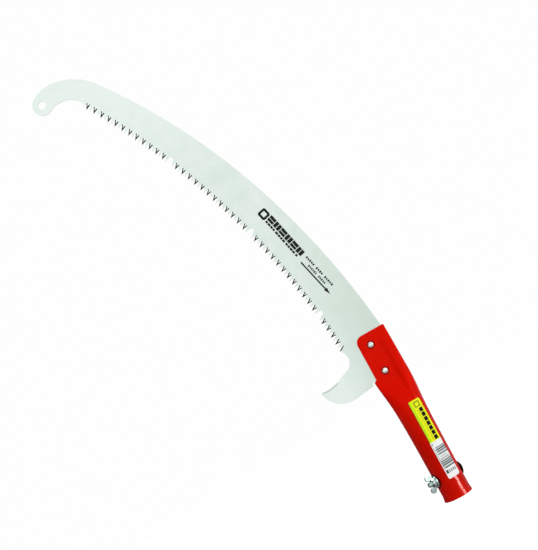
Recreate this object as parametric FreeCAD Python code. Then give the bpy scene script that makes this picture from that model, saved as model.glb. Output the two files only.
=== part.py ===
import FreeCAD, Part
import math
import os

os.makedirs("parts", exist_ok=True)

# Curved pruning-saw head with a socket for a long pole. All lengths are millimetres.
# The origin is the centre of the socket's mouth. +Z runs up the pole towards the saw, the saw
# lies in the XZ plane with its teeth towards -X, and the printed side faces -Y.

# ---- saw plate
PLATE = 1.4               # sheet thickness
TOOTH_CENTRE_X = -816.0   # centre of the circle that the tooth tips lie on
TOOTH_CENTRE_Z = 143.9
TOOTH_RADIUS = 779.6
PITCH = 4.39              # tip to tip along that circle
FIRST_TIP_ANGLE = 3.80    # degrees, the tip nearest the hook
TOOTH_DEPTH = 6.6
TOOTH_LEAN = 0.9          # the roots lie this much nearer the hook than the tips do
GRIND_WIDTH = 1.10        # width of the ground strip along each flank
LAND = 0.25               # flat left on a cutting edge
TOOTH_COUNT = 88
RAKER_GAPS = (10, 36, 62)  # places in the row where a tooth is left out for chips
BACK_START = (14.0, 202.0, 96.5)  # x, z and heading in degrees, where the back leaves the socket
BACK_ARCS = (             # radius and sweep in degrees of each tangent arc, a minus turns right
    (824.0, 14.10),
    (682.0, 16.50),
    (61.0, 51.00),
    (36.0, 38.20),
    (11.0, 173.50),
    (-25.2, 84.00),
)
HANG_HOLE = (-190.8, 578.5, 4.2)  # x, z and radius

# ---- pole socket
WALL = 1.5
BORE_RADIUS = 14.2
TUBE_RADIUS = BORE_RADIUS + WALL
FLARE = 0.8               # how far the outside of the rim opens, and over what length
FLARE_LENGTH = 6.5
LEAD_IN = 0.5             # the same for the inside
LEAD_IN_LENGTH = 2.5
ROUND_TOP = 21.5          # the sized ring at the mouth ends here
RING_STEP = 0.04          # the inside is this much wider above the sized ring
SHEET = WALL - RING_STEP
SLOT_HALF = 0.76          # half the gap between the pressed cheeks
# height, left edge, right edge, flatness 0 to 1, extra half thickness of the open fold
STATIONS = (
    (ROUND_TOP, -15.70, 15.70, 0.000, 5.0),
    (32.0, -15.71, 15.71, 0.001, 5.0),
    (46.0, -15.76, 15.74, 0.003, 5.0),
    (60.0, -15.86, 15.80, 0.008, 5.0),
    (75.0, -16.05, 15.95, 0.016, 5.0),
    (90.0, -16.40, 16.15, 0.030, 5.0),
    (102.0, -16.85, 16.45, 0.060, 5.0),
    (112.0, -17.40, 16.90, 0.130, 5.0),
    (120.0, -18.10, 17.45, 0.270, 4.8),
    (128.0, -19.05, 17.95, 0.520, 4.4),
    (136.0, -20.10, 18.25, 0.790, 3.9),
    (143.0, -20.95, 18.30, 0.955, 3.2),
    (146.5, -21.25, 18.25, 0.991, 2.9),
    (150.0, -21.50, 18.15, 1.000, 2.6),
)
CHEEK_END = (204.0, -21.50, 17.05, 1.000, 0.8)  # straight sides from the last station to here
SECTION_POINTS = 64
CREASE_X = 4.6            # the fold opens out from the flat cheek here
CREASE_WIDTH = 6.5
CHEEK_LEFT = -18.2
CHEEK_TOP = 199.4
NOTCH_Z = 148.8

# ---- rivets
RIVETS = (("lower_rivet", -5.0, 154.8), ("upper_rivet", -5.3, 186.3))
RIVET_RADIUS = 2.5
RIVET_HEAD_RADIUS = 2.95
RIVET_HEAD_RISE = 1.15
DIMPLE_FLOOR_RADIUS = 3.0
DIMPLE_RADIUS = 4.5
DIMPLE_DEPTH = 0.45

# ---- clamping bolt, washer and wing nut
BOLT_Z = 25.5
BOLT_TURN = 20.0          # degrees that the nut end leans towards the viewer's side
BOLT_RADIUS = 3.0
BOLT_TIP = 24.9           # end of the thread, measured from the tube's axis
SEAT = 15.4               # flat seats pressed in the tube, measured from its axis
NECK = 6.0                # square under the head
BOLT_HEAD_RADIUS = 8.25
BOLT_HEAD_RISE = 3.6
HOLE_RADIUS = 3.2
WASHER_RADIUS = 7.0
WASHER_THICK = 1.6
STACK_GAP = 0.02
NUT_BASE_RADIUS = 5.6
NUT_TOP_RADIUS = 4.8
NUT_HEIGHT = 3.6
NUT_BORE_RADIUS = 3.06
WING_THICK = 2.0
WING_LOBE_OUT = 5.2       # lobe centre above the nut's base
WING_LOBE_ACROSS = 7.2    # lobe centre from the bolt's axis
WING_LOBE_RADIUS = 3.5

# ---- sticker
LABEL = (-1.1, 12.3, 22.4, 113.9)  # x low, x high, z low, z high
LABEL_CORNER = 1.8
LABEL_GAP = 0.02
LABEL_THICK = 0.15


def vec(x, y, z):
    return FreeCAD.Vector(x, y, z)


# ------------------------------------------------------------------ saw plate

def tooth_point(along, depth):
    """A point in the XZ plane: distance along the tip circle, and depth in from it."""
    angle = math.radians(FIRST_TIP_ANGLE) + along / TOOTH_RADIUS
    radius = TOOTH_RADIUS + depth
    return (TOOTH_CENTRE_X + radius * math.cos(angle), TOOTH_CENTRE_Z + radius * math.sin(angle))


def shifted(point, direction, distance):
    return (point[0] + direction[0] * distance, point[1] + direction[1] * distance)


def unit(a, b):
    length = math.hypot(b[0] - a[0], b[1] - a[1])
    return ((b[0] - a[0]) / length, (b[1] - a[1]) / length)


def meet(p, d, q, e):
    """Where the line through p along d meets the line through q along e."""
    cross = d[0] * e[1] - d[1] * e[0]
    t = ((q[0] - p[0]) * e[1] - (q[1] - p[1]) * e[0]) / cross
    return (p[0] + d[0] * t, p[1] + d[1] * t)


def polygon(points):
    wire = Part.makePolygon([vec(*p) for p in points] + [vec(*points[0])])
    return Part.Face(wire)


def at(point, y):
    return (point[0], y, point[1])


class Tooth:
    """One tooth: its corner points, and the points of the strip ground along both flanks."""

    def __init__(self, index):
        start = index * PITCH
        self.index = index
        self.front_ground = index % 2 == 0
        self.tip = tooth_point(start, 0)
        self.low_root = tooth_point(start - TOOTH_LEAN, TOOTH_DEPTH)
        self.high_root = tooth_point(start + PITCH - TOOTH_LEAN, TOOTH_DEPTH)
        self.low_ground = True
        self.grind()

    def grind(self):
        low = unit(self.tip, self.low_root)
        high = unit(self.tip, self.high_root)
        width = GRIND_WIDTH if self.low_ground else 0.0
        self.low_end = shifted(self.low_root, (-low[1], low[0]), width)
        self.high_end = shifted(self.high_root, (high[1], -high[0]), GRIND_WIDTH)
        self.inner = meet(self.low_end, low, self.high_end, high)

    def levels(self):
        """Ground face, land level and sharp face of this tooth."""
        half = PLATE / 2
        if self.front_ground:
            return -half, half - LAND, half
        return half, -half + LAND, -half

    def outline(self, y):
        """The tooth's outline on the face at y, from its low root to its high root."""
        if (y < 0) != self.front_ground:
            return [self.low_root, self.tip, self.high_root]
        if self.low_ground:
            return [self.low_root, self.low_end, self.inner, self.high_end, self.high_root]
        return [self.low_root, self.inner, self.high_end, self.high_root]

    def faces(self):
        ground, land, sharp = self.levels()
        flanks = [(self.high_root, self.high_end)]
        out = []
        if self.low_ground:
            flanks.append((self.low_root, self.low_end))
        else:
            out.append(polygon([at(self.low_root, ground), at(self.low_root, -land), at(self.low_root, land),
                                at(self.low_root, sharp), at(self.tip, sharp), at(self.tip, land),
                                at(self.inner, ground)]))
        for root, end in flanks:
            out.append(polygon([at(root, sharp), at(self.tip, sharp), at(self.tip, land), at(root, land)]))
            out.append(polygon([at(root, land), at(self.tip, land), at(self.inner, ground), at(end, ground)]))
            out.append(polygon([at(root, land), at(root, -land), at(root, ground), at(end, ground)]))
        return out


def step_face(a, b, split_a, split_b):
    """A flat strip of the plate's edge from a to b, with the corner lines that its neighbours have."""
    half = PLATE / 2
    land = half - LAND
    points = [at(a, -half), at(b, -half)]
    if split_b:
        points += [at(b, -land), at(b, land)]
    points += [at(b, half), at(a, half)]
    if split_a:
        points += [at(a, land), at(a, -land)]
    return polygon(points)


def arc_chain(start, arcs):
    """Tangent arcs one after another. Returns (edges at y = 0, end point)."""
    x, z, heading = start[0], start[1], math.radians(start[2])
    edges = []
    for radius, sweep in arcs:
        turn = math.radians(sweep) * (1 if radius > 0 else -1)
        cx = x - radius * math.sin(heading)
        cz = z + radius * math.cos(heading)
        points = []
        for share in (0.0, 0.5, 1.0):
            a = heading + turn * share
            points.append(vec(cx + radius * math.sin(a), 0, cz - radius * math.cos(a)))
        edges.append(Part.Arc(*points).toShape())
        x, z, heading = points[2].x, points[2].z, heading + turn
    return edges, (x, z)


def line(a, b):
    return Part.makeLine(vec(a[0], 0, a[1]), vec(b[0], 0, b[1]))


def arc_about(centre, radius, start, end):
    """An arc in the XZ plane about a centre, from one angle to another in degrees."""
    points = []
    for share in (0.0, 0.5, 1.0):
        a = math.radians(start + (end - start) * share)
        points.append(vec(centre[0] + radius * math.cos(a), 0, centre[1] + radius * math.sin(a)))
    return Part.Arc(*points).toShape()


def crown_point(radius, rim, crown):
    """A point half way out along the arc of a spherical crown centred on the axis."""
    rise = crown - rim
    ball = (radius * radius + rise * rise) / (2 * rise)
    out = radius / 2
    along = math.sqrt(ball * ball - out * out)
    return out, crown - ball + math.copysign(along, rise)


def ends(edge):
    a = edge.valueAt(edge.FirstParameter)
    b = edge.valueAt(edge.LastParameter)
    return (a.x, a.z), (b.x, b.z)


def hook_edges():
    """The plain outline from under the last tooth round the hook and the tang to the back."""
    throat = arc_about((-45.6, 185.2), 12.6, 38, -68.5)
    sweep = arc_about((-69.66, 205.18), 40.0, -68.5, -96.3)
    point = arc_about((-74.75, 163.85), 1.6, 80, 190)
    belly = arc_about((-50.0, 169.9), 27.4, 196, 277)
    edges = [throat]
    for following in (sweep, point, belly):
        edges.append(line(ends(edges[-1])[1], ends(following)[0]))
        edges.append(following)
    tang = [ends(belly)[1], (-24.0, 145.6), (-22.4, 149.5), (-16.5, 149.5), (-14.5, 145.0), (9.0, 145.0),
            (14.0, 150.5), BACK_START[:2]]
    for a, b in zip(tang, tang[1:]):
        edges.append(line(a, b))
    return edges


def saw_blade():
    half = PLATE / 2
    row = [i for i in range(TOOTH_COUNT) if i not in RAKER_GAPS]
    teeth = [Tooth(i) for i in row]
    back, tip_end = arc_chain(BACK_START, BACK_ARCS)
    plain = hook_edges()
    hook_start = ends(plain[0])[0]
    teeth[0].low_root = tooth_point(-TOOTH_LEAN / 2, 3.2)
    teeth[0].low_ground = False
    teeth[0].grind()
    teeth[-1].high_root = shifted(teeth[-1].tip, unit(teeth[-1].tip, teeth[-1].high_root), 5.4)
    teeth[-1].grind()
    faces = []
    for tooth in teeth:
        faces += tooth.faces()
    for a, b in zip(teeth, teeth[1:]):
        if b.index != a.index + 1:
            faces.append(step_face(a.high_root, b.low_root, True, True))
    faces.append(step_face(hook_start, teeth[0].low_root, False, True))
    faces.append(step_face(teeth[-1].high_root, tip_end, True, False))
    for y in (-half, half):
        corner = []
        for tooth in teeth:
            for point in tooth.outline(y):
                if not corner or math.dist(corner[-1], point) > 1e-6:
                    corner.append(point)
        path = [hook_start] + corner + [tip_end]
        rows = [line(a, b) for a, b in zip(path, path[1:])]
        edges = [e.translated(vec(0, y, 0)) for e in rows + plain + back]
        faces.append(Part.Face(Part.Wire(Part.__sortEdges__(edges))))
    for edge in plain + back:
        faces.append(edge.translated(vec(0, -half, 0)).extrude(vec(0, PLATE, 0)))
    shell = Part.makeShell(faces)
    shell.sewShape()
    plate = Part.makeSolid(shell)
    if plate.Volume < 0:
        plate.reverse()
    for gap in RAKER_GAPS:
        centre = tooth_point((gap + 0.5) * PITCH - TOOTH_LEAN, TOOTH_DEPTH)
        plate = plate.cut(through_hole(centre[0], centre[1], PITCH / 2))
    plate = plate.cut(through_hole(*HANG_HOLE))
    for name, x, z in RIVETS:
        plate = plate.cut(through_hole(x, z, RIVET_RADIUS))
    return plate


def through_hole(x, z, radius):
    return Part.makeCylinder(radius, 60, vec(x, -30, z), vec(0, 1, 0))


# ------------------------------------------------------------------ pole socket

def inner_point(station, t):
    """The inside of the socket at one height: a circle that turns into a pressed slot."""
    height, left, right, flatness, bulge = station
    centre = (left + right) / 2
    half_width = (right - left) / 2 - WALL + RING_STEP
    x = centre + half_width * math.cos(t)
    w = flatness ** (1 + 0.6 * math.cos(t) ** 2) if flatness else 0.0
    round_share = ((1 + math.cos(t)) / 2) ** 2
    kappa = 0.12 + 0.36 * round_share
    s = math.sin(t)
    blunt = s / math.sqrt(s * s + kappa * kappa) * math.sqrt(1 + kappa * kappa)
    u = min(max((x - CREASE_X) / CREASE_WIDTH, 0.0), 1.0)
    pressed = blunt * (SLOT_HALF + bulge * u * u * (3 - 2 * u))
    return x, (1 - w) * (BORE_RADIUS + RING_STEP) * s + w * pressed


def section(station, offset):
    """A closed curve round the socket at one height, set out from the inside surface."""
    points = []
    for i in range(SECTION_POINTS):
        t = 2 * math.pi * i / SECTION_POINTS
        x, y = inner_point(station, t)
        if offset:
            x0, y0 = inner_point(station, t - 1e-4)
            x1, y1 = inner_point(station, t + 1e-4)
            length = math.hypot(x1 - x0, y1 - y0)
            x += offset * (y1 - y0) / length
            y -= offset * (x1 - x0) / length
        points.append(vec(x, y, station[0]))
    curve = Part.BSplineCurve()
    curve.interpolate(Points=points, PeriodicFlag=True)
    return Part.Wire([curve.toShape()])


def lofted(stations, offset):
    return Part.makeLoft([section(s, offset) for s in stations], True, False, False, 5)


def pressed_tube(stations, offset):
    """The curved shank, with the straight-sided cheeks sewn on top of it."""
    joint = stations[-1]
    cheeks = Part.makeLoft([section(joint, offset), section(CHEEK_END, offset)], True, True)
    faces = lofted(stations, offset).Faces + cheeks.Faces
    shell = Part.Shell([face for face in faces if not is_cap(face, joint[0])])
    shell.sewShape()
    return Part.Solid(shell)


def is_cap(face, height):
    box = face.BoundBox
    return abs(box.ZMin - height) < 0.01 and box.ZLength < 0.01


def cheek_trim():
    """Everything outside the cheeks' outline above the notch."""
    corner = 8.0
    rim = 1.6
    right = 17.2
    outline = [
        line((-40, NOTCH_Z - 1.2), (-22.6, NOTCH_Z - 1.2)),
        arc_through((-22.6, NOTCH_Z - 1.2), (-21.0, NOTCH_Z - 0.55), (-19.9, NOTCH_Z + 0.1)),
        arc_through((-19.9, NOTCH_Z + 0.1), (-18.7, NOTCH_Z + 0.95), (CHEEK_LEFT, NOTCH_Z + 2.3)),
        line((CHEEK_LEFT, NOTCH_Z + 2.3), (CHEEK_LEFT, CHEEK_TOP - corner)),
        arc_about((CHEEK_LEFT + corner, CHEEK_TOP - corner), corner, 180, 90),
        line((CHEEK_LEFT + corner, CHEEK_TOP), (right - rim, CHEEK_TOP + 0.4)),
        arc_about((right - rim, CHEEK_TOP + 0.4 - rim), rim, 90, 0),
        line((right, CHEEK_TOP + 0.4 - rim), (right + 0.6, CHEEK_TOP - 6)),
        line((right + 0.6, CHEEK_TOP - 6), (40, CHEEK_TOP - 6)),
        line((40, CHEEK_TOP - 6), (40, 240)),
        line((40, 240), (-40, 240)),
        line((-40, 240), (-40, NOTCH_Z - 1.2)),
    ]
    face = Part.Face(Part.Wire(Part.__sortEdges__(outline)))
    return face.translated(vec(0, -30, 0)).extrude(vec(0, 60, 0))


def arc_through(a, b, c):
    return Part.Arc(vec(a[0], 0, a[1]), vec(b[0], 0, b[1]), vec(c[0], 0, c[1])).toShape()


def mouth_flare(radius, opening, length, low):
    """A shallow cone that opens the rim by a given amount over a given length above the mouth plane."""
    slope = opening / length
    top = length + 0.5
    return Part.makeCone(radius + (length - low) * slope, radius - 0.5 * slope, top - low, vec(0, 0, low))


def bolt_direction():
    a = math.radians(BOLT_TURN)
    return vec(-math.cos(a), -math.sin(a), 0)


def along_bolt(shape):
    """Place a shape built about the local Z axis on the bolt's axis, local X staying upright."""
    d = bolt_direction()
    up = vec(0, 0, 1)
    side = d.cross(up)
    m = FreeCAD.Matrix(
        up.x, side.x, d.x, 0,
        up.y, side.y, d.y, 0,
        up.z, side.z, d.z, BOLT_Z,
        0, 0, 0, 1)
    copy = shape.copy()
    copy.Placement = FreeCAD.Placement(m).multiply(copy.Placement)
    return copy


def socket():
    foot = (0.0,) + STATIONS[0][1:]
    body = pressed_tube((foot,) + STATIONS, SHEET).fuse(mouth_flare(TUBE_RADIUS, FLARE, FLARE_LENGTH, 0.0))
    body = body.cut(pressed_tube(STATIONS, 0.0))
    body = body.cut(Part.makeCylinder(BORE_RADIUS, ROUND_TOP + 1.5, vec(0, 0, -1)))
    body = body.cut(mouth_flare(BORE_RADIUS, LEAD_IN, LEAD_IN_LENGTH, -1.0))
    body = body.cut(cheek_trim())
    for name, x, z in RIVETS:
        body = body.cut(through_hole(x, z, RIVET_RADIUS))
        body = body.cut(dimple(x, z, -1))
        body = body.cut(dimple(x, z, 1))
    round_hole = Part.makeCylinder(HOLE_RADIUS, 30, vec(0, 0, 0), vec(0, 0, 1))
    square_hole = Part.makeBox(NECK + 0.1, NECK + 0.1, 30, vec(-NECK / 2 - 0.05, -NECK / 2 - 0.05, -30))
    nut_seat = Part.makeCylinder(WASHER_RADIUS + 0.3, 10, vec(0, 0, SEAT), vec(0, 0, 1))
    head_seat = Part.makeCylinder(BOLT_HEAD_RADIUS + 0.3, 10, vec(0, 0, -SEAT), vec(0, 0, -1))
    for tool in (round_hole, square_hole, nut_seat, head_seat):
        body = body.cut(along_bolt(tool))
    return body


def dimple(x, z, side):
    surface = SLOT_HALF + SHEET
    return Part.makeCone(DIMPLE_FLOOR_RADIUS, DIMPLE_RADIUS + 1.0, DIMPLE_DEPTH * (1 + 1 / 1.5),
                         vec(x, side * (surface - DIMPLE_DEPTH), z), vec(0, side, 0))


# ------------------------------------------------------------------ fasteners

def rivet(x, z):
    floor = SLOT_HALF + SHEET - DIMPLE_DEPTH
    top = floor + RIVET_HEAD_RISE
    edge = floor + 0.25
    profile = [
        line((0, -top), (0, top)),
        arc_through((0, top), crown_point(RIVET_HEAD_RADIUS, edge, top), (RIVET_HEAD_RADIUS, edge)),
        line((RIVET_HEAD_RADIUS, edge), (RIVET_HEAD_RADIUS, floor)),
        line((RIVET_HEAD_RADIUS, floor), (RIVET_RADIUS, floor)),
        line((RIVET_RADIUS, floor), (RIVET_RADIUS, -floor)),
        line((RIVET_RADIUS, -floor), (RIVET_HEAD_RADIUS, -floor)),
        line((RIVET_HEAD_RADIUS, -floor), (RIVET_HEAD_RADIUS, -edge)),
        arc_through((RIVET_HEAD_RADIUS, -edge), crown_point(RIVET_HEAD_RADIUS, -edge, -top), (0, -top)),
    ]
    face = Part.Face(Part.Wire(Part.__sortEdges__(profile)))
    solid = face.revolve(vec(0, 0, 0), vec(0, 0, 1), 360)
    solid.rotate(vec(0, 0, 0), vec(1, 0, 0), 90)
    solid.translate(vec(x, 0, z))
    return solid


def carriage_bolt():
    base = -SEAT
    rim = base - 0.5
    crown = base - BOLT_HEAD_RISE
    chamfer = 0.6
    neck_end = -(BORE_RADIUS - 0.9)
    profile = [
        line((0, BOLT_TIP), (BOLT_RADIUS - chamfer, BOLT_TIP)),
        line((BOLT_RADIUS - chamfer, BOLT_TIP), (BOLT_RADIUS, BOLT_TIP - chamfer)),
        line((BOLT_RADIUS, BOLT_TIP - chamfer), (BOLT_RADIUS, base)),
        line((BOLT_RADIUS, base), (BOLT_HEAD_RADIUS, base)),
        line((BOLT_HEAD_RADIUS, base), (BOLT_HEAD_RADIUS, rim)),
        arc_through((BOLT_HEAD_RADIUS, rim), crown_point(BOLT_HEAD_RADIUS, rim, crown), (0, crown)),
        line((0, crown), (0, BOLT_TIP)),
    ]
    face = Part.Face(Part.Wire(Part.__sortEdges__(profile)))
    solid = face.revolve(vec(0, 0, 0), vec(0, 0, 1), 360)
    neck = Part.makeBox(NECK, NECK, neck_end - base, vec(-NECK / 2, -NECK / 2, base))
    return along_bolt(solid.fuse(neck).removeSplitter())


def plain_washer():
    low = SEAT + STACK_GAP
    disc = Part.makeCylinder(WASHER_RADIUS, WASHER_THICK, vec(0, 0, low), vec(0, 0, 1))
    disc = disc.makeChamfer(0.2, [disc.Edges[0]])
    hole = Part.makeCylinder(HOLE_RADIUS, WASHER_THICK + 2, vec(0, 0, low - 1), vec(0, 0, 1))
    return along_bolt(disc.cut(hole))


def tangent_point(point, centre, radius, side):
    """Where a line from a point touches a circle, on the chosen side."""
    dx, dz = centre[0] - point[0], centre[1] - point[1]
    distance = math.hypot(dx, dz)
    angle = math.atan2(dz, dx) + side * math.asin(radius / distance)
    length = math.sqrt(distance * distance - radius * radius)
    return (point[0] + length * math.cos(angle), point[1] + length * math.sin(angle))


def wing():
    """One ear of the nut, in the plane of local X (across) and Z (out along the bolt)."""
    centre = (WING_LOBE_ACROSS, WING_LOBE_OUT)
    low = (NUT_BASE_RADIUS - 0.4, 0.5)
    high = (NUT_TOP_RADIUS - 1.0, NUT_HEIGHT - 0.3)
    low_touch = tangent_point(low, centre, WING_LOBE_RADIUS, -1)
    high_touch = tangent_point(high, centre, WING_LOBE_RADIUS, 1)
    far = shifted(centre, unit((0, 0), centre), WING_LOBE_RADIUS)
    inner_low = (NUT_BORE_RADIUS + 0.6, 0.5)
    inner_high = (NUT_BORE_RADIUS + 0.6, NUT_HEIGHT - 0.3)
    edges = [
        line(inner_low, low),
        line(low, low_touch),
        arc_through(low_touch, far, high_touch),
        line(high_touch, high),
        line(high, inner_high),
        line(inner_high, inner_low),
    ]
    face = Part.Face(Part.Wire(Part.__sortEdges__(edges)))
    return face.translated(vec(0, -WING_THICK / 2, 0)).extrude(vec(0, WING_THICK, 0))


def wing_nut():
    base = SEAT + WASHER_THICK + 2 * STACK_GAP
    hub = Part.makeCone(NUT_BASE_RADIUS, NUT_TOP_RADIUS, NUT_HEIGHT)
    ear = wing()
    other = ear.copy()
    other.rotate(vec(0, 0, 0), vec(0, 0, 1), 180)
    body = hub.fuse([ear, other]).removeSplitter()
    hole = Part.makeCylinder(NUT_BORE_RADIUS, NUT_HEIGHT + 2, vec(0, 0, -1), vec(0, 0, 1))
    countersink = Part.makeCone(NUT_BORE_RADIUS, NUT_BORE_RADIUS + 0.6, 0.6, vec(0, 0, NUT_HEIGHT - 0.6))
    body = body.cut(hole).cut(countersink)
    body.translate(vec(0, 0, base))
    return along_bolt(body)


# ------------------------------------------------------------------ sticker

def label_sticker():
    """A thin film that follows the tube's front, cut to a rounded rectangle."""
    low = (10.0,) + STATIONS[0][1:]
    stations = (low,) + tuple(s for s in STATIONS if s[0] < 130)
    film = lofted(stations, SHEET + LABEL_GAP + LABEL_THICK).cut(lofted(stations, SHEET + LABEL_GAP))
    x0, x1, z0, z1 = LABEL
    c = LABEL_CORNER
    edges = [
        line((x0 + c, z0), (x1 - c, z0)),
        arc_about((x1 - c, z0 + c), c, -90, 0),
        line((x1, z0 + c), (x1, z1 - c)),
        arc_about((x1 - c, z1 - c), c, 0, 90),
        line((x1 - c, z1), (x0 + c, z1)),
        arc_about((x0 + c, z1 - c), c, 90, 180),
        line((x0, z1 - c), (x0, z0 + c)),
        arc_about((x0 + c, z0 + c), c, 180, 270),
    ]
    face = Part.Face(Part.Wire(Part.__sortEdges__(edges)))
    cutter = face.translated(vec(0, -30, 0)).extrude(vec(0, 29, 0))
    return film.common(cutter)


def save(shape, name):
    solids = shape.Solids
    one = solids[0] if len(solids) == 1 else shape
    box = one.BoundBox
    print(name, "solids", len(solids), "valid", one.isValid(), "volume", round(one.Volume, 1),
          "x", round(box.XMin, 2), round(box.XMax, 2), "y", round(box.YMin, 2), round(box.YMax, 2),
          "z", round(box.ZMin, 2), round(box.ZMax, 2))
    one.exportStep("parts/" + name + ".step")


save(saw_blade(), "saw_blade")
save(socket(), "socket")
for rivet_name, rivet_x, rivet_z in RIVETS:
    save(rivet(rivet_x, rivet_z), rivet_name)
save(carriage_bolt(), "carriage_bolt")
save(plain_washer(), "plain_washer")
save(wing_nut(), "wing_nut")
save(label_sticker(), "label_sticker")
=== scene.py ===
import math

import bmesh
import bpy
from mathutils import Matrix, Vector


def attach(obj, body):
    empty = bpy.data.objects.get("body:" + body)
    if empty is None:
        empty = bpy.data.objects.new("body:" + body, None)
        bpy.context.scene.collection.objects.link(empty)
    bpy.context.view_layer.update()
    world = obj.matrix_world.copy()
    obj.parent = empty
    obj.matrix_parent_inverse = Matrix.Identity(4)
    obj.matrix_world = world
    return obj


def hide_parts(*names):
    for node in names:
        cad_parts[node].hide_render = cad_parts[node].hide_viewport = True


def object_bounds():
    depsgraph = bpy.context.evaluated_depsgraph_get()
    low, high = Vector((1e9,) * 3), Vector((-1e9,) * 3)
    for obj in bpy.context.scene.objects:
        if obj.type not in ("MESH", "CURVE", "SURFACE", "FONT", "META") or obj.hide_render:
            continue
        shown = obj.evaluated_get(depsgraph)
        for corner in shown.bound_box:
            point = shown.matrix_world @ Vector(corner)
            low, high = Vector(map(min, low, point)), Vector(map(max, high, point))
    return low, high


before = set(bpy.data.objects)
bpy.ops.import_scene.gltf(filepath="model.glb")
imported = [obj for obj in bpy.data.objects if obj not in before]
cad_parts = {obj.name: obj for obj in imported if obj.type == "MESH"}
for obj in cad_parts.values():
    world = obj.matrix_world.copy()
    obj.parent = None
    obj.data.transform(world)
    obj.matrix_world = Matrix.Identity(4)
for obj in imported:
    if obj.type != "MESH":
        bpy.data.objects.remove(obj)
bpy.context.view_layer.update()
MM = 0.001

# Z runs up the tube from its mouth, Y is normal to the saw plate, and the printed face looks along -Y.
# Lengths are in mm up to the stage, which is in metres. Points in two numbers are X and Z.
TOOTH_CENTRE = (-816.0, 143.9)
HOOK_CENTRE = (-69.66, 205.18)
RIVETS = ((-5.0, 154.8), (-5.3, 186.3))
BOLT_Z = 25.5
OUTWARD = Vector((-0.93969262, -0.34202014, 0.0))   # along the bolt, towards the nut
UPWARD = Vector((0.0, 0.0, 1.0))
SIDEWAYS = UPWARD.cross(OUTWARD)


# ---------------------------------------------------------------- shader helpers

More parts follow.
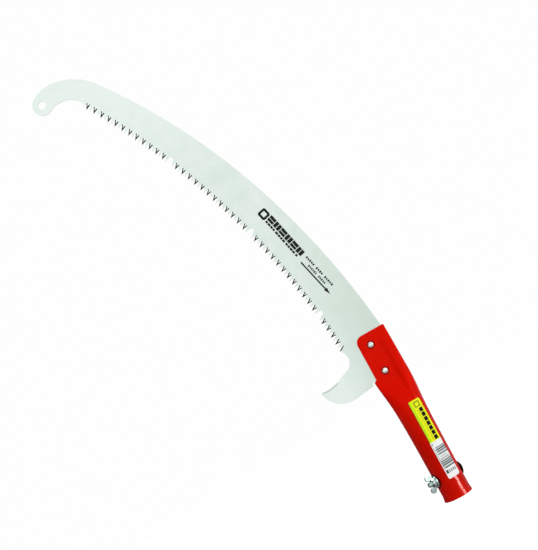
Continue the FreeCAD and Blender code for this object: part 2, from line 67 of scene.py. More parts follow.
class Shader:
    """A material with a Principled surface, and short ways to add the nodes that feed it.

    A value is another node's socket or a plain number, and a colour is a socket or (red, green, blue).
    """

    def __init__(self, name, **values):
        self.material = bpy.data.materials.new(name)
        self.material.use_nodes = True
        self.tree = self.material.node_tree
        self.tree.nodes.clear()
        output = self.tree.nodes.new("ShaderNodeOutputMaterial")
        self.surface = self.tree.nodes.new("ShaderNodeBsdfPrincipled")
        self.tree.links.new(self.surface.outputs[0], output.inputs["Surface"])
        for key, value in values.items():
            self.surface.inputs[key.replace("_", " ")].default_value = value
        place = self.tree.nodes.new("ShaderNodeTexCoord")
        self.place = place.outputs["Object"]
        split = self.tree.nodes.new("ShaderNodeSeparateXYZ")
        self.tree.links.new(self.place, split.inputs[0])
        self.x, self.y, self.z = split.outputs

    def feed(self, socket, value):
        if isinstance(value, bpy.types.NodeSocket):
            self.tree.links.new(value, socket)
        else:
            socket.default_value = value

    def colour(self, value):
        self.feed(self.surface.inputs["Base Color"], value)

    def roughness(self, value):
        self.feed(self.surface.inputs["Roughness"], value)

    def bump(self, height, strength, distance):
        node = self.tree.nodes.new("ShaderNodeBump")
        node.inputs["Strength"].default_value = strength
        node.inputs["Distance"].default_value = distance
        self.feed(node.inputs["Height"], height)
        self.tree.links.new(node.outputs[0], self.surface.inputs["Normal"])

    def math(self, operation, *values):
        node = self.tree.nodes.new("ShaderNodeMath")
        node.operation = operation
        for socket, value in zip(node.inputs, values):
            self.feed(socket, value)
        return node.outputs[0]

    def plus(self, a, b):
        return self.math("ADD", a, b)

    def minus(self, a, b):
        return self.math("SUBTRACT", a, b)

    def times(self, a, b):
        return self.math("MULTIPLY", a, b)

    def length(self, a, b):
        return self.math("SQRT", self.plus(self.times(a, a), self.times(b, b)))

    def vector(self, x, y, z):
        node = self.tree.nodes.new("ShaderNodeCombineXYZ")
        for socket, value in zip(node.inputs, (x, y, z)):
            self.feed(socket, value)
        return node.outputs[0]

    def noise(self, scale, detail, roughness, at=None, distortion=0.0):
        node = self.tree.nodes.new("ShaderNodeTexNoise")
        self.tree.links.new(at or self.place, node.inputs["Vector"])
        node.inputs["Scale"].default_value = scale
        node.inputs["Detail"].default_value = detail
        node.inputs["Roughness"].default_value = roughness
        node.inputs["Distortion"].default_value = distortion
        return node.outputs[0]

    def spread(self, value, low, high, to_low=0.0, to_high=1.0, smooth=False):
        """The range from low to high, stretched to the range from to_low to to_high and held beyond it."""
        node = self.tree.nodes.new("ShaderNodeMapRange")
        node.interpolation_type = "SMOOTHSTEP" if smooth else "LINEAR"
        for key, number in (("Value", value), ("From Min", low), ("From Max", high),
                            ("To Min", to_low), ("To Max", to_high)):
            self.feed(node.inputs[key], number)
        return node.outputs[0]

    def between(self, value, low, high, soft):
        """1 between low and high, with edges that fade over soft."""
        up = self.spread(value, low - soft / 2, low + soft / 2, smooth=True)
        down = self.spread(value, high - soft / 2, high + soft / 2, 1.0, 0.0, smooth=True)
        return self.times(up, down)

    def mix(self, share, a, b, blend="MIX"):
        node = self.tree.nodes.new("ShaderNodeMix")
        node.data_type = "RGBA"
        node.blend_type = blend
        self.feed(node.inputs[0], share)
        for socket, value in ((node.inputs[6], a), (node.inputs[7], b)):
            self.feed(socket, value if isinstance(value, bpy.types.NodeSocket) else (*value, 1.0))
        return node.outputs[2]

    def cover(self, under, where, strength, over):
        """The colour over, laid on the colour under where a mask is 1, as thickly as strength."""
        return self.mix(self.times(where, strength), under, over)

    def mottled(self, grain, a, b, low=0.3, high=0.7):
        """Two colours shared out by a noise, whose usual values run from low to high."""
        return self.mix(self.spread(grain, low, high), a, b)

    def weighted(self, a, share, b):
        return self.plus(self.times(a, share), self.times(b, 1.0 - share))

    def distance(self, x, z):
        """Distance from a point in the XZ plane, in metres."""
        return self.length(self.minus(self.x, x * MM), self.minus(self.z, z * MM))

    def from_bolt(self):
        """Distance from the clamping bolt's axis, in metres."""
        across = self.minus(self.z, BOLT_Z * MM)
        return self.length(across, self.plus(self.times(self.x, SIDEWAYS.x), self.times(self.y, SIDEWAYS.y)))

    def facing(self, direction):
        """Cosine of the angle between the surface's normal and a fixed direction."""
        normal = self.tree.nodes.new("ShaderNodeNewGeometry")
        product = self.tree.nodes.new("ShaderNodeVectorMath")
        product.operation = "DOT_PRODUCT"
        self.tree.links.new(normal.outputs["Normal"], product.inputs[0])
        product.inputs[1].default_value = direction
        return product.outputs["Value"]


# ---------------------------------------------------------------- materials

def brushed(s):
    """Fine polishing lines that follow the saw's curve."""
    radius = s.distance(*TOOTH_CENTRE)
    turn = s.math("ARCTAN2", s.minus(s.z, TOOTH_CENTRE[1] * MM), s.minus(s.x, TOOTH_CENTRE[0] * MM))
    return s.noise(60.0, 4.0, 0.65, at=s.vector(s.times(radius, 60.0), s.times(turn, 1.2), s.y))


def saw_steel():
    """Polished plate, with painted light making it brighter at the tip and the hook, and painted shade
    making it darker near the socket.
    """
    s = Shader("saw_steel", Metallic=1.0)
    lines = brushed(s)
    cloud = s.noise(16.0, 3.0, 0.55, distortion=0.4)
    tone = s.weighted(cloud, 0.6, s.noise(70.0, 2.0, 0.5))
    colour = s.mottled(tone, (0.665, 0.765, 0.700), (0.765, 0.845, 0.790), 0.35, 0.65)
    fine = s.mottled(lines, (0.90, 0.90, 0.90), (1.0, 1.0, 1.0), 0.35, 0.65)
    colour = s.mix(0.5, colour, fine, blend="MULTIPLY")

    # painted shade: a short line that follows the hook's curve, standing for the shaded bevel of its inner
    # edge
    hook_painted_shade = s.times(s.between(s.distance(*HOOK_CENTRE), 39.8 * MM, 41.7 * MM, 0.7 * MM),
                     s.between(s.x, -75.5 * MM, -56.0 * MM, 5.0 * MM))
    colour = s.cover(colour, hook_painted_shade, 0.75, (0.20, 0.27, 0.20))

    # painted light towards the tip and the hook, and painted shade near the socket, for how the light falls
    # along the plate
    bright, painted_shade_grey = (0.86, 0.95, 0.90), (0.53, 0.64, 0.56)
    painted_light_tip = s.spread(s.z, 420 * MM, 570 * MM)
    painted_shade_socket = s.times(s.spread(s.z, 420 * MM, 220 * MM), s.spread(s.x, -50 * MM, 0.0))
    painted_light_hook = s.times(s.spread(s.z, 270 * MM, 220 * MM), s.spread(s.x, -20 * MM, -50 * MM))
    colour = s.cover(colour, painted_light_tip, 0.55, bright)
    colour = s.cover(colour, painted_light_hook, 0.4, bright)
    colour = s.cover(colour, painted_shade_socket, 0.5, painted_shade_grey)
    s.colour(colour)
    s.roughness(s.spread(s.plus(lines, s.times(cloud, 0.5)), 0.4, 1.1, 0.27, 0.42))
    s.bump(lines, 0.12, 0.04 * MM)
    return s.material


def plain_metal(name, scale, colours, roughness, strength, depth, variation=0.6):
    """Metal with one grain, which drives its colour, roughness and bump alike."""
    s = Shader(name, Metallic=1.0)
    grain = s.noise(scale, 3.0, variation)
    s.colour(s.mottled(grain, *colours))
    s.roughness(s.spread(grain, 0.3, 0.7, *roughness))
    s.bump(grain, strength, depth)
    return s.material


def ground_flanks_painted_shade():
    """The filed flanks of the teeth: the plate's steel, made near black as painted shade."""
    return plain_metal("ground_flanks_painted_shade", 900.0, ((0.002, 0.005, 0.003), (0.009, 0.014, 0.010)),
                       (0.28, 0.5), 0.2, 0.05 * MM, variation=0.7)


def cut_edge():
    """The stamped rim of the plate."""
    return plain_metal("cut_edge", 500.0, ((0.42, 0.47, 0.43), (0.62, 0.67, 0.63)),
                       (0.38, 0.58), 0.2, 0.04 * MM)


def rivet_steel():
    return plain_metal("rivet_steel", 600.0, ((0.84, 0.86, 0.84), (0.97, 0.98, 0.96)),
                       (0.38, 0.55), 0.25, 0.06 * MM)


def red_paint():
    """Paint, with painted shade in rings round the rivets, a painted shadow of the nut round the bolt, and
    painted light making it brighter higher up and on the cheeks.
    """
    s = Shader("red_paint", Specular_IOR_Level=0.15, Specular_Tint=(1.0, 0.15, 0.12, 1.0))
    cloud = s.noise(22.0, 3.0, 0.55)
    tone = s.spread(s.weighted(cloud, 0.8, s.noise(420.0, 2.0, 0.6)), 0.35, 0.65)
    # painted shade low on the tube and painted light high up and on the cheeks, for how the light falls
    # along it
    colour = s.mix(s.spread(s.z, 50.0 * MM, 140.0 * MM),
                   s.mix(tone, (0.440, 0.0030, 0.0002), (0.505, 0.0045, 0.0002)),
                   s.mix(tone, (0.570, 0.0036, 0.0002), (0.640, 0.0052, 0.0003)))
    # painted shade of the dimple pressed round each rivet
    for centre in RIVETS:
        ring = s.between(s.distance(*centre), 2.6 * MM, 4.4 * MM, 0.8 * MM)
        colour = s.cover(colour, ring, 0.68, (0.030, 0.0006, 0.0006))
    # painted shadow of the nut and washer on the tube round the bolt
    nut_painted_shadow = s.times(s.spread(s.from_bolt(), 7.4 * MM, 9.6 * MM, 1.0, 0.0, smooth=True),
                   s.spread(s.x, -8.0 * MM, -6.0 * MM, 1.0, 0.0))
    s.colour(s.cover(colour, nut_painted_shadow, 0.85, (0.030, 0.0008, 0.0006)))
    s.roughness(s.spread(cloud, 0.3, 0.7, 0.17, 0.24))
    s.bump(s.noise(700.0, 1.0, 0.4), 0.08, 0.05 * MM)
    return s.material


def bolt_steel():
    """Zinc, made near black at the head's end as painted shade, and bright at the thread's."""
    s = Shader("bolt_steel", Metallic=1.0)
    grain = s.noise(450.0, 3.0, 0.6)
    # painted shade: the head is the same zinc, made near black for the shadow it sits in
    head_painted_shade = s.mottled(grain, (0.010, 0.007, 0.007), (0.035, 0.028, 0.028))
    bright = s.mottled(grain, (0.55, 0.74, 0.71), (0.74, 0.90, 0.87))
    s.colour(s.mix(s.spread(s.x, 9.0 * MM, 11.0 * MM, smooth=True), bright, head_painted_shade))
    s.roughness(s.spread(grain, 0.3, 0.7, 0.28, 0.45))
    s.bump(grain, 0.2, 0.06 * MM)
    return s.material


def nut_zinc():
    """Zinc, with painted shade in the nut's bore, and painted shade and a painted reflection of the red tube
    on the faces turned towards it.
    """
    s = Shader("nut_zinc", Metallic=1.0)
    tone = s.weighted(s.noise(180.0, 3.0, 0.6), 0.7, s.noise(900.0, 2.0, 0.6))
    colour = s.mottled(tone, (0.46, 0.60, 0.57), (0.74, 0.86, 0.83), 0.35, 0.65)
    # painted shade in the nut's bore round the bolt
    bore = s.spread(s.from_bolt(), 3.9 * MM, 4.8 * MM, 1.0, 0.0, smooth=True)
    colour = s.cover(colour, bore, 0.92, (0.020, 0.075, 0.070))
    # painted shade and painted reflection of the red tube on the faces turned towards it
    tube_side_painted_shade = s.spread(s.facing(OUTWARD), -0.15, -0.55, 0.0, 0.85)
    s.colour(s.mix(tube_side_painted_shade, colour, (0.045, 0.020, 0.028)))
    s.roughness(s.spread(tone, 0.35, 0.65, 0.22, 0.42))
    s.bump(tone, 0.25, 0.1 * MM)
    return s.material


def black_ink():
    s = Shader("black_ink", Specular_IOR_Level=0.2)
    speck = s.noise(1500.0, 2.0, 0.6)
    s.colour(s.mottled(speck, (0.002, 0.003, 0.002), (0.012, 0.014, 0.012), 0.35, 0.75))
    s.roughness(s.spread(speck, 0.3, 0.7, 0.4, 0.6))
    return s.material


LABEL_SPLIT = 65.2  # yellow above, white below
LABEL_TOP = 115.5
# left, right, low, high and depth of tone of the plain lines on the white part
LABEL_LINES = (
    (-0.4, 0.5, 34.0, 59.0, 0.50),
    (-0.4, 0.9, 61.8, 63.6, 0.85),
    (1.8, 12.6, 57.7, 58.9, 0.75),
    (1.4, 12.6, 55.2, 56.8, 1.00),
    (1.4, 12.6, 53.0, 54.4, 0.95),
    (1.4, 12.6, 50.2, 51.5, 0.95),
    (2.0, 10.4, 47.0, 48.2, 0.45),
    (1.4, 11.4, 44.6, 45.8, 0.50),
    (0.0, 12.6, 41.8, 43.2, 0.85),
    (0.0, 12.6, 39.7, 41.0, 0.95),
    (0.0, 12.6, 37.4, 39.0, 0.95),
    (1.2, 12.6, 34.4, 35.9, 0.95),
    (-0.2, 12.0, 34.0, 46.0, 0.22),
    (1.6, 12.4, 49.0, 58.9, 0.18),
)


def sticker_film():
    """Yellow and white sticker with plain marks: a green band, blocks, a square frame, lines and dots."""
    s = Shader("sticker_film", Specular_IOR_Level=0.12)
    grain = s.noise(900.0, 2.0, 0.6)

    def patch(x0, x1, z0, z1, soft=0.25):
        return s.times(s.between(s.x, x0 * MM, x1 * MM, soft * MM),
                       s.between(s.z, z0 * MM, z1 * MM, soft * MM))

    def dashes(x0, x1, z0, z1, step, share):
        """Bars across the strip, repeated along it."""
        phase = s.math("FRACT", s.math("DIVIDE", s.minus(s.z, z0 * MM), step * MM))
        return s.times(s.between(phase, 0.02, share, 0.3 / step), patch(x0, x1, z0, z1))

    yellow = s.mottled(grain, (0.70, 0.76, 0.003), (0.77, 0.84, 0.005))
    white = s.mottled(grain, (0.74, 0.76, 0.75), (0.82, 0.83, 0.82))
    colour = s.mix(s.spread(s.z, (LABEL_SPLIT - 0.2) * MM, (LABEL_SPLIT + 0.2) * MM), white, yellow)

    # the yellow part
    colour = s.cover(colour, patch(0.0, 2.0, LABEL_SPLIT, LABEL_TOP), 0.95, (0.46, 0.74, 0.004))
    colour = s.cover(colour, patch(-3.0, -0.5, LABEL_SPLIT, LABEL_TOP), 0.9, (0.012, 0.012, 0.004))
    colour = s.mix(dashes(6.5, 10.4, 66.2, 104.4, 5.5, 0.86), colour, (0.006, 0.006, 0.004))
    square = s.minus(patch(3.6, 10.2, 105.4, 112.0), patch(5.0, 8.8, 106.8, 110.6))
    colour = s.cover(colour, square, 0.7, (0.08, 0.09, 0.004))
    colour = s.cover(colour, dashes(4.2, 5.6, 67.1, 103.1, 1.9, 0.62), 0.55, (0.22, 0.20, 0.004))

    # the white part
    for x0, x1, z0, z1, depth in LABEL_LINES:
        colour = s.cover(colour, patch(x0, x1, z0, z1, 0.5), depth, (0.06, 0.09, 0.10))
    columns = s.math("FRACT", s.math("DIVIDE", s.minus(s.x, 1.2 * MM), 2.1 * MM))
    dots = s.times(patch(1.6, 11.2, 28.4, 31.8), s.between(columns, 0.05, 0.75, 0.2))
    colour = s.cover(colour, dots, 0.8, (0.14, 0.16, 0.17))
    colour = s.mix(patch(0.0, 2.0, 28.2, 32.2, 0.4), colour, (0.02, 0.03, 0.03))
    s.colour(colour)
    s.roughness(s.spread(grain, 0.3, 0.7, 0.28, 0.4))
    s.bump(s.noise(260.0, 2.0, 0.5), 0.05, 0.1 * MM)
    return s.material


def floor_paper():
    s = Shader("floor_paper", Roughness=0.9, Specular_IOR_Level=0.1)
    s.colour(s.mix(s.noise(40.0, 3.0, 0.6), (0.80, 0.80, 0.79), (0.84, 0.84, 0.83)))
    return s.material


# ---------------------------------------------------------------- CAD nodes

FLAT_FACE = 0.999   # how far a normal leans to Y on the plate's two sides
RIM_FACE = 0.2      # and, at most, on its rim


def dress(name, *materials):
    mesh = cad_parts[name].data
    mesh.materials.clear()
    for material in materials:
        mesh.materials.append(material)
    return mesh


blade = dress("saw_blade", saw_steel(), ground_flanks_painted_shade(), cut_edge())
for polygon in blade.polygons:
    lean = abs(polygon.normal.y)
    if lean > FLAT_FACE:
        polygon.material_index = 0
    elif lean < RIM_FACE:
        polygon.material_index = 2
    else:
        polygon.material_index = 1
rivet_finish = rivet_steel()
dress("socket", red_paint())
dress("upper_rivet", rivet_finish)
dress("lower_rivet", rivet_finish)
dress("label_sticker", sticker_film())


def placed(mesh, name, material, body):
    piece = bpy.data.objects.new(name, mesh)
    bpy.context.scene.collection.objects.link(piece)
    mesh.materials.append(material)
    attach(piece, body)
    return piece


# ---------------------------------------------------------------- blade print

PRINT_FACE = -0.7
INK_THICKNESS = 0.04
PRINT_TURN = math.radians(13.2)
PRINT_ORIGIN = (-38.4, 357.4)   # top left corner of the row of big blocks
BLOCK_WIDTH = 6.8


def add_mark(form, points):
    """A thin raised shape on the printed face, from a closed outline in the XZ plane."""
    low = [form.verts.new((x * MM, PRINT_FACE * MM, z * MM)) for x, z in points]
    face = form.faces.new(low)
    face.normal_update()
    if face.normal.y > 0:
        face.normal_flip()
    made = bmesh.ops.extrude_face_region(form, geom=[face])
    top = [v for v in made["geom"] if isinstance(v, bmesh.types.BMVert)]
    bmesh.ops.translate(form, verts=top, vec=(0, -INK_THICKNESS * MM, 0))


def printed(across, along):
    """From the print's own axes, across to the right and along down the saw, to the XZ plane."""
    c, s = math.cos(PRINT_TURN), math.sin(PRINT_TURN)
    return (PRINT_ORIGIN[0] + across * c + along * s, PRINT_ORIGIN[1] + across * s - along * c)


def block(left, right, start, end):
    return [printed(left, start), printed(right, start), printed(right, end), printed(left, end)]


def big_blocks(count=6, step=9.0, gap=0.7):
    """A row of blocks, each split across or along in turn."""
    shapes = []
    for i in range(count):
        start = 0.5 + i * step
        end = start + step - gap
        middle = (start + end) / 2
        if i % 2:
            shapes += [block(0.0, BLOCK_WIDTH, start, middle - 0.3),
                       block(0.0, BLOCK_WIDTH, middle + 0.3, end)]
        else:
            shapes += [block(0.0, 2.9, start, end), block(3.4, BLOCK_WIDTH, start, end)]
    return shapes


def small_bars(count=13, left=-3.4, right=-1.0):
    """A row of short bars of three lengths, in groups of four, beside the blocks."""
    shapes = []
    start = 1.2
    for i in range(count):
        length = (2.7, 3.6, 3.1)[i % 3]
        shapes.append(block(left, right, start, start + length))
        start += length + (0.6 if i % 4 != 3 else 1.5)
    return shapes


def square_frame(left=-4.0, right=6.2, low=-10.9, high=-0.5, stroke=2.6):
    """Four strokes that overlap at the corners."""
    return [block(left, left + stroke, low + 1.0, high - 1.0),
            block(right - stroke, right, low + 1.0, high - 1.0),
            block(left + 1.0, right - 1.0, low, low + stroke),
            block(left + 1.0, right - 1.0, high - stroke, high)]


def dash_line(x, z, groups, pitch, width=2.5, group_gap=2.6):
    """Groups of small slanted dashes along a line down the saw."""
    turn = math.radians(14.0)

    def spot(a, b):
        return (x + a * math.cos(turn) + b * math.sin(turn), z + a * math.sin(turn) - b * math.cos(turn))

    shapes = []
    run = 0.0
    for count in groups:
        for i in range(count):
            inset = 0.5 if i % 2 else 0.0
            end = run + pitch - 0.75
            shapes.append([spot(inset, run), spot(width, run), spot(width - inset, end), spot(0.0, end)])
            run += pitch
        run += group_gap
    return shapes


def arrow(tail=(-28.5, 299.2), head=(-17.3, 254.4), shaft=0.8, barb=2.1, point=7.6):
    tail, head = Vector(tail), Vector(head)
    along = (head - tail).normalized()
    aside = Vector((-along.y, along.x))
    neck = head - along * point
    return [[tail + aside * shaft, tail - aside * shaft, neck - aside * shaft, neck + aside * shaft],
            [neck + aside * barb, neck - aside * barb, head]]


def blade_print():
    """Plain blocks, bars, a frame, dashes and an arrow, in one mesh."""
    form = bmesh.new()
    for points in (big_blocks() + small_bars() + square_frame() + dash_line(-21.8, 301.4, (5, 4, 5), 2.62)
                   + dash_line(-24.2, 292.2, (6, 5), 2.2) + arrow()):
        add_mark(form, points)
    bmesh.ops.recalc_face_normals(form, faces=form.faces)
    mesh = bpy.data.meshes.new("blade_print")
    form.to_mesh(mesh)
    form.free()
    return mesh


placed(blade_print(), "blade_print", black_ink(), "head")


# ---------------------------------------------------------------- clamping bolt, washer and wing nut

# Places along the bolt are measured from the tube's axis, outwards.
HEAD_CROWN, HEAD_RIM, HEAD_SEAT, HEAD_RADIUS = -18.97, -15.95, -15.40, 8.25
NECK_END, NECK_HALF, NECK_CORNER = -13.4, 2.98, 3.9
THREAD_START, BOLT_TIP = 2.0, 24.9
THREAD_PITCH, THREAD_RADIUS, THREAD_DEPTH = 1.0, 2.97, 0.42
TIP_CHAMFER = 0.8
WASHER_FACE, WASHER_BACK, WASHER_BORE, WASHER_RADIUS = 15.42, 17.0, 3.25, 6.98
NUT_FACE = 17.04
SMOOTH_ANGLE = math.radians(38)


def by_bolt(across, thick, along):
    """From the bolt's own axes in mm to the object's frame in metres."""
    return (UPWARD * across + SIDEWAYS * thick + OUTWARD * along + UPWARD * BOLT_Z) * MM


def bridge(form, loops, closed):
    """Faces between each ring of vertices and the next, and from the last to the first if closed."""
    for a, b in list(zip(loops, loops[1:])) + ([(loops[-1], loops[0])] if closed else []):
        for i in range(len(a)):
            j = (i + 1) % len(a)
            form.faces.new((a[i], a[j], b[j], b[i]))


def turned(name, rings, segments=64, closed=False):
    """A skin over rings round the bolt's axis. A ring is a place along it, and a radius or one by angle."""
    form = bmesh.new()
    loops = []
    for along, radius in rings:
        loop = []
        for i in range(segments):
            angle = 2 * math.pi * i / segments
            r = radius(angle) if callable(radius) else radius
            loop.append(form.verts.new(by_bolt(r * math.cos(angle), r * math.sin(angle), along)))
        loops.append(loop)
    bridge(form, loops, closed)
    if not closed:
        form.faces.new(loops[0])
        form.faces.new(loops[-1])
    bmesh.ops.recalc_face_normals(form, faces=form.faces)
    for face in form.faces:
        face.smooth = True
    mesh = bpy.data.meshes.new(name)
    form.to_mesh(mesh)
    form.free()
    mesh.set_sharp_from_angle(angle=SMOOTH_ANGLE)
    return mesh


def bolt_rings(dome_steps=14, thread_steps=8):
    """Domed head, rim, square neck, plain shank, thread and chamfered end, in one skin."""
    rings = []
    rise = HEAD_RIM - HEAD_CROWN
    ball = (HEAD_RADIUS ** 2 + rise ** 2) / (2 * rise)
    sweep = math.asin(HEAD_RADIUS / ball)
    for i in range(1, dome_steps + 1):
        a = sweep * i / dome_steps
        rim_ease = 0.985 if i == dome_steps else 1.0
        rings.append((HEAD_CROWN + ball * (1 - math.cos(a)), ball * math.sin(a) * rim_ease))
    rings += [(HEAD_RIM + 0.12, HEAD_RADIUS), (HEAD_SEAT - 0.12, HEAD_RADIUS),
              (HEAD_SEAT, HEAD_RADIUS - 0.12)]

    def neck(angle):
        return min(NECK_HALF / max(abs(math.cos(angle)), abs(math.sin(angle))), NECK_CORNER)
    rings += [(HEAD_SEAT, neck), (NECK_END, neck),
              (NECK_END + 0.2, THREAD_RADIUS), (THREAD_START, THREAD_RADIUS)]

    for i in range(1, int((BOLT_TIP - THREAD_START) / THREAD_PITCH * thread_steps) + 1):
        along = THREAD_START + i * THREAD_PITCH / thread_steps
        fade = min(1.0, (along - THREAD_START) / 1.5)
        end = max(0.0, along - (BOLT_TIP - TIP_CHAMFER))

        def thread(angle, along=along, fade=fade, end=end):
            phase = (along / THREAD_PITCH - angle / (2 * math.pi)) % 1.0
            groove = 1.0 - abs(2.0 * phase - 1.0)
            return min(THREAD_RADIUS - THREAD_DEPTH * groove * fade, THREAD_RADIUS - 0.05 - end * 0.75)
        rings.append((along, thread))
    return rings


def washer_rings(round_off=0.28, break_edge=0.12, steps=4):
    """Rounded outside and a bore with broken edges."""
    rings = []
    for place, start in ((WASHER_FACE + round_off, -90), (WASHER_BACK - round_off, 0)):
        for k in range(steps + 1):
            angle = math.radians(start + 90 * k / steps)
            rings.append((place + round_off * math.sin(angle),
                          WASHER_RADIUS - round_off + round_off * math.cos(angle)))
    return rings + [(WASHER_BACK, WASHER_BORE + break_edge), (WASHER_BACK - break_edge, WASHER_BORE),
                    (WASHER_FACE + break_edge, WASHER_BORE), (WASHER_FACE, WASHER_BORE + break_edge)]


def wing_outline(centre=(7.15, 5.15), radius=3.3, steps=16):
    """One ear of the cast nut: root, flank and a round lobe, in across and along."""
    points = [(4.0, 0.5), (5.3, 0.35)]
    for i in range(steps + 1):
        angle = math.radians(-62 + 232 * i / steps)
        points.append((centre[0] + radius * math.cos(angle), centre[1] + radius * math.sin(angle)))
    return points + [(4.05, 3.6), (3.95, 2.6)]


# place along the bolt from the nut's face, and radius, round the hub's section
HUB = ((0.0, 5.35), (0.15, 5.55), (1.6, 5.35), (3.1, 4.75), (3.5, 4.4), (3.55, 3.7), (3.2, 3.28),
       (0.25, 3.28), (0.0, 3.6))


def cast_nut(segments=48, voxel=0.20):
    """Hub and two ears melted together and smoothed as a casting is."""
    form = bmesh.new()
    angles = [2 * math.pi * i / segments for i in range(segments)]
    bridge(form, [[form.verts.new((r * math.cos(a), r * math.sin(a), along)) for a in angles]
                  for along, r in HUB], closed=True)
    outline = wing_outline()
    # each ear is thickest at its root
    half = [1.35 - 0.035 * max(0.0, across - 5.0) ** 1.5 for across, _ in outline]
    for side in (1, -1):
        low = [form.verts.new((side * a, -h, o)) for (a, o), h in zip(outline, half)]
        top = [form.verts.new((side * a, h, o)) for (a, o), h in zip(outline, half)]
        form.faces.new(low)
        form.faces.new(list(reversed(top)))
        bridge(form, [low, top], closed=False)
    bmesh.ops.recalc_face_normals(form, faces=form.faces)
    mesh = bpy.data.meshes.new("wing_nut_raw")
    form.to_mesh(mesh)
    form.free()

    raw = bpy.data.objects.new("wing_nut_raw", mesh)
    bpy.context.scene.collection.objects.link(raw)
    melt = raw.modifiers.new("melt", "REMESH")
    melt.mode = "VOXEL"
    melt.voxel_size = voxel
    melt.use_smooth_shade = True
    ease = raw.modifiers.new("ease", "SMOOTH")
    ease.factor = 0.5
    ease.iterations = 5
    bpy.context.view_layer.update()
    done = bpy.data.meshes.new_from_object(raw.evaluated_get(bpy.context.evaluated_depsgraph_get()))
    bpy.data.objects.remove(raw)
    bpy.data.meshes.remove(mesh)
    for vertex in done.vertices:
        across, thick, along = vertex.co
        vertex.co = by_bolt(across, thick, NUT_FACE + along)
    done.flip_normals()     # the bolt's axes are left-handed
    return done


zinc = nut_zinc()
bolt_piece = placed(turned("bolt", bolt_rings()), "bolt", bolt_steel(), "head")
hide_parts("carriage_bolt")
washer_piece = placed(turned("washer", washer_rings(), closed=True), "washer", zinc, "washer")
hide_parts("plain_washer")
nut_piece = placed(cast_nut(), "nut", zinc, "nut")
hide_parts("wing_nut")


# ---------------------------------------------------------------- stage, in metres

FLOOR_RADIUS = 2.4
FLOOR_DROP = 0.13       # gap below the object
BACKDROP = 0.99         # brightness of the world where the camera sees it
AMBIENT = (0.06, 0.58)  # brightness of its light, from the left and from the right

low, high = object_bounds()
middle = (low + high) / 2
floor_mesh = bpy.data.meshes.new("floor")
form = bmesh.new()
bmesh.ops.create_circle(form, cap_ends=True, segments=96, radius=FLOOR_RADIUS)
bmesh.ops.translate(form, verts=form.verts, vec=(middle.x, 0, low.z - FLOOR_DROP))
form.to_mesh(floor_mesh)
form.free()
floor_mesh.materials.append(floor_paper())
floor = bpy.data.objects.new("floor", floor_mesh)
bpy.context.scene.collection.objects.link(floor)
floor.visible_glossy = False


def studio_world():
    """A plain white backdrop for the camera, and dimmer light that grows from left to right."""
    world = bpy.data.worlds.new("studio")
    world.use_nodes = True
    nodes, links = world.node_tree.nodes, world.node_tree.links
    ambient = nodes["Background"]
    backdrop = nodes.new("ShaderNodeBackground")
    for background in (ambient, backdrop):
        background.inputs["Color"].default_value = (1.0, 1.0, 1.0, 1.0)
    backdrop.inputs["Strength"].default_value = BACKDROP
    direction = nodes.new("ShaderNodeTexCoord")
    split = nodes.new("ShaderNodeSeparateXYZ")
    links.new(direction.outputs["Generated"], split.inputs[0])
    side = nodes.new("ShaderNodeMapRange")
    for key, number in (("From Min", -0.8), ("From Max", 0.8),
                        ("To Min", AMBIENT[0]), ("To Max", AMBIENT[1])):
        side.inputs[key].default_value = number
    links.new(split.outputs[0], side.inputs["Value"])
    links.new(side.outputs[0], ambient.inputs["Strength"])
    path = nodes.new("ShaderNodeLightPath")
    either = nodes.new("ShaderNodeMixShader")
    links.new(path.outputs["Is Camera Ray"], either.inputs[0])
    links.new(ambient.outputs[0], either.inputs[1])
    links.new(backdrop.outputs[0], either.inputs[2])
    links.new(either.outputs[0], nodes["World Output"].inputs["Surface"])
    return world


bpy.context.scene.world = studio_world()


def softbox(name, at, towards, size, radiance):
    """A rectangular light given by how bright its face looks."""
    data = bpy.data.lights.new(name, "AREA")
    data.shape = "RECTANGLE"
    data.size, data.size_y = size
    data.energy = radiance * math.pi * size[0] * size[1]
    light = bpy.data.objects.new(name, data)
    light.location = at
    light.rotation_mode = "QUATERNION"
    light.rotation_quaternion = (Vector(towards) - Vector(at)).to_track_quat("-Z", "Y")
    bpy.context.scene.collection.objects.link(light)
    return light


def only_on(light, name, pieces):
    """Lets a light act on some pieces only, and keeps its face out of the picture."""
    group = bpy.data.collections.new(name)
    for piece in pieces:
        group.objects.link(piece)
    light.light_linking.receiver_collection = group
    light.visible_camera = False


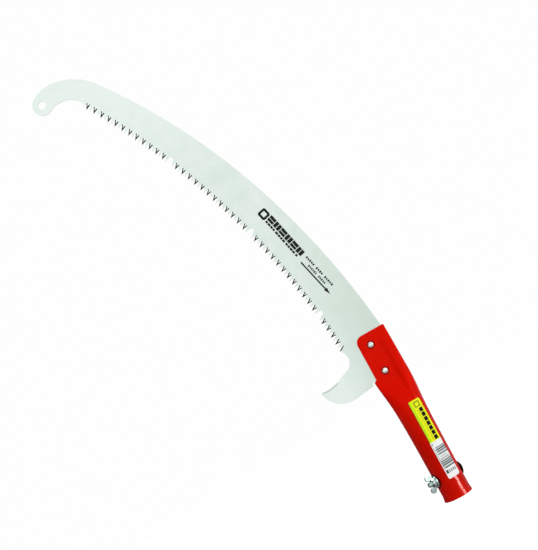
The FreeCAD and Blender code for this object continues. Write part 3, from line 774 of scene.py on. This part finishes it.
softbox("front", (-0.5, -3.7, 0.5), (-0.06, 0.0, 0.3), (3.2, 3.2), 0.91)
softbox("key", (2.3, -2.9, 1.0), (0.0, 0.0, 0.15), (1.0, 1.8), 5.0)

# the bright line down the tube: gloss only, in a narrow beam that stays off the cheeks
strip = softbox("strip", (0.48, -0.39, -0.025), (0.0, 0.0, 0.018), (0.12, 0.13), 10.0)
strip.data.spread = math.radians(22)
strip.data.color = (0.50, 0.92, 1.0)
strip.visible_diffuse = False
only_on(strip, "gloss", [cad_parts["socket"]])

sun_data = bpy.data.lights.new("overhead", "SUN")
sun_data.energy = 3.2
sun_data.angle = math.radians(40)
sun = bpy.data.objects.new("overhead", sun_data)
bpy.context.scene.collection.objects.link(sun)

fill = softbox("fill", (-0.75, -0.75, -0.02), (-0.02, 0.0, BOLT_Z * MM), (0.9, 0.6), 1.05)
only_on(fill, "hardware", [bolt_piece, washer_piece, nut_piece,
                           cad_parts["upper_rivet"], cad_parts["lower_rivet"]])


# ---------------------------------------------------------------- camera, in metres

SENSOR = 36.0
VIEW_WIDTH = 0.5874     # what the camera sees across, at the saw's plane
VIEW_DISTANCE = 1.75
VIEW_CENTRE = (-0.0649, 0.3036)
VIEW_RIGHT = Vector((0.8776, 0.0, -0.4794))
VIEW_UP = Vector((0.4794, 0.0, 0.8776))
VIEW_BACK = Vector((0.0, -1.0, 0.0))

camera_data = bpy.data.cameras.new("camera")
camera_data.sensor_width = SENSOR
camera_data.lens = SENSOR * VIEW_DISTANCE / VIEW_WIDTH
camera_data.clip_start, camera_data.clip_end = 0.1, 50.0
camera = bpy.data.objects.new("camera", camera_data)
turn = Matrix((VIEW_RIGHT.normalized(), VIEW_UP.normalized(), VIEW_BACK)).transposed()
place = Matrix.Translation((VIEW_CENTRE[0], -VIEW_DISTANCE, VIEW_CENTRE[1]))
camera.matrix_world = place @ turn.to_4x4()
bpy.context.scene.collection.objects.link(camera)
bpy.context.scene.camera = camera
bpy.context.scene.view_settings.view_transform = "Standard"

bpy.context.view_layer.update()
